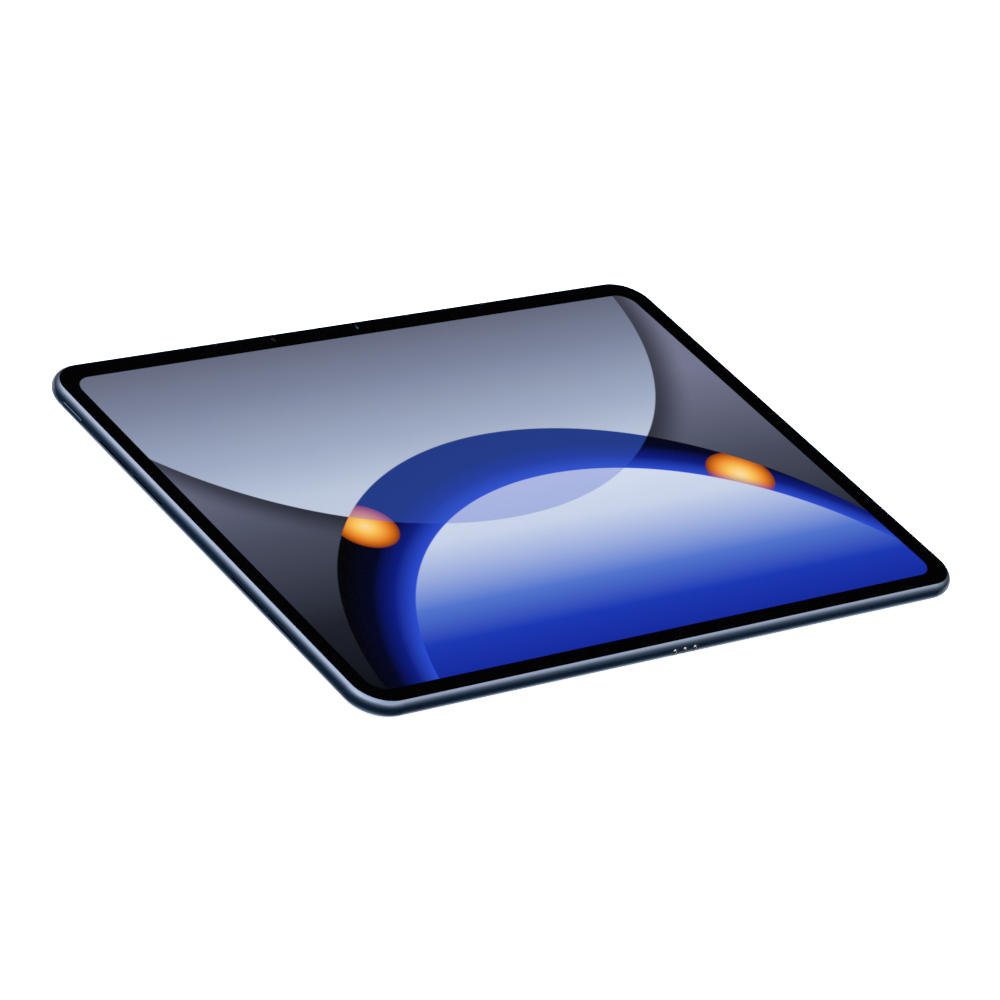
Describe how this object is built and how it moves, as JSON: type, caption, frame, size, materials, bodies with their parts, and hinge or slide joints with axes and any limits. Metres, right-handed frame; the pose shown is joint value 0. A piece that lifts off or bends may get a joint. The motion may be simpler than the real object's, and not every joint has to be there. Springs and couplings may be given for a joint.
{
  "type": "tablet computer",
  "caption": "Thin slate tablet computer with an edge-to-edge glass front, lit landscape display, round-sided metal housing, side buttons, dock contacts and a round rear camera.",
  "frame": {"origin": "centre of the flat back face", "axes": "+X along the long side to the right, +Y across to the side with the front camera, +Z out of the display"},
  "size_m": [0.2926, 0.2127, 0.0088],
  "materials": {
    "housing_metal": "anodised navy, fine satin",
    "button_metal": "anodised navy, fine satin",
    "ring_metal": "anodised navy, turned",
    "antenna_plastic": "navy, fine matte",
    "cover_glass": "clear, polished",
    "black_ink": "printed black",
    "clear_adhesive": "clear adhesive film",
    "display_cells": "lit display",
    "backlight_film": "white diffuser film",
    "tray_metal": "stamped sheet",
    "black_adhesive": "foam adhesive",
    "circuit_board": "solder mask",
    "graphite": "graphite film",
    "flex_film": "amber film",
    "camera_black": "moulded black",
    "lens_glass": "coated lens",
    "switch_metal": "domed switch",
    "bracket_metal": "stamped sheet",
    "mesh_metal": "dark woven mesh",
    "battery_foil": "pouch foil",
    "adhesive_white": "stretch adhesive",
    "screw_metal": "zinc",
    "shield_metal": "tin plated",
    "chip_package": "moulded package",
    "connector_plastic": "moulded black",
    "usb_metal": "drawn steel shell",
    "contact_metal": "nickel plated",
    "magnet_metal": "nickel plated",
    "camera_glass": "black-printed glass",
    "lens_barrel": "lens barrel",
    "led_phosphor": "phosphor dome",
    "antenna_film": "plated film on carrier",
    "cable_jacket": "coaxial lead",
    "speaker_plastic": "moulded black",
    "diaphragm_film": "pressed film"
  },
  "bodies": {
    "housing": {"antenna_cables": "cable_jacket", "antenna_inserts": "antenna_plastic", "backlight_unit": "backlight_film", "battery_adhesive_strips": "adhesive_white", "battery_boards": "circuit_board", "battery_cell_left": "battery_foil", "battery_cell_right": "battery_foil", "bezel_mask": "black_ink", "board_connectors": "connector_plastic", "board_screws": "screw_metal", "cover_glass": "cover_glass", "display_driver_board": "circuit_board", "display_flex": "flex_film", "display_panel": "display_cells", "display_tray": "tray_metal", "dock_contacts": "contact_metal", "dock_flex": "flex_film", "dock_insulators": "connector_plastic", "flash_led": "led_phosphor", "front_camera": "camera_black", "front_camera_lens": "lens_glass", "front_sensor_flex": "flex_film", "glass_adhesive_ring": "black_adhesive", "graphite_sheet": "graphite", "keyboard_magnets": "magnet_metal", "light_sensor": "camera_black", "mainboard": "circuit_board", "microphones": "shield_metal", "optical_adhesive": "clear_adhesive", "power_chip": "chip_package", "power_switch": "switch_metal", "processor": "chip_package", "rear_camera_glass": "camera_glass", "rear_camera_module": "camera_black", "rear_camera_ring": "ring_metal", "rear_housing": "housing_metal", "shield_cans": "shield_metal", "speaker_meshes": "mesh_metal", "speaker_module_left_far": "speaker_plastic", "speaker_module_left_near": "speaker_plastic", "speaker_module_right_far": "speaker_plastic", "speaker_module_right_near": "speaker_plastic", "storage_chip": "chip_package", "switch_brackets": "bracket_metal", "usb_c_board": "circuit_board", "usb_c_flex": "flex_film", "usb_c_shell": "usb_metal", "usb_c_tongue": "connector_plastic", "volume_switches": "switch_metal", "wifi_antennas": "antenna_film", "wireless_module": "shield_metal"},
    "power_button": {"power_button": "button_metal"},
    "volume_up_button": {"volume_up_button": "button_metal"},
    "volume_down_button": {"volume_down_button": "button_metal"},
    "rear_lens": {"rear_camera_lens": "lens_barrel"},
    "diaphragm_left_far": {"speaker_diaphragm_left_far": "diaphragm_film"},
    "diaphragm_left_near": {"speaker_diaphragm_left_near": "diaphragm_film"},
    "diaphragm_right_far": {"speaker_diaphragm_right_far": "diaphragm_film"},
    "diaphragm_right_near": {"speaker_diaphragm_right_near": "diaphragm_film"}
  },
  "joints": [
    {"name": "power_press", "type": "slide", "parent": "housing", "child": "power_button", "axis": [1, 0, 0], "range_m": [0, 0.00035], "stiffness_N_per_m": 4000, "springref_m": -0.0002},
    {"name": "volume_up_press", "type": "slide", "parent": "housing", "child": "volume_up_button", "axis": [0, -1, 0], "range_m": [0, 0.00035], "stiffness_N_per_m": 4000, "springref_m": -0.0002},
    {"name": "volume_down_press", "type": "slide", "parent": "housing", "child": "volume_down_button", "axis": [0, -1, 0], "range_m": [0, 0.00035], "stiffness_N_per_m": 4000, "springref_m": -0.0002},
    {"name": "lens_focus", "type": "slide", "parent": "housing", "child": "rear_lens", "axis": [0, 0, -1], "range_m": [0, 0.00025], "stiffness_N_per_m": 600, "springref_m": -0.0001},
    {"name": "stroke_left_far", "type": "slide", "parent": "housing", "child": "diaphragm_left_far", "axis": [0, 0, 1], "range_m": [-0.0003, 0.0003], "stiffness_N_per_m": 1500},
    {"name": "stroke_left_near", "type": "slide", "parent": "housing", "child": "diaphragm_left_near", "axis": [0, 0, 1], "range_m": [-0.0003, 0.0003], "stiffness_N_per_m": 1500},
    {"name": "stroke_right_far", "type": "slide", "parent": "housing", "child": "diaphragm_right_far", "axis": [0, 0, 1], "range_m": [-0.0003, 0.0003], "stiffness_N_per_m": 1500},
    {"name": "stroke_right_near", "type": "slide", "parent": "housing", "child": "diaphragm_right_near", "axis": [0, 0, 1], "range_m": [-0.0003, 0.0003], "stiffness_N_per_m": 1500}
  ]
}
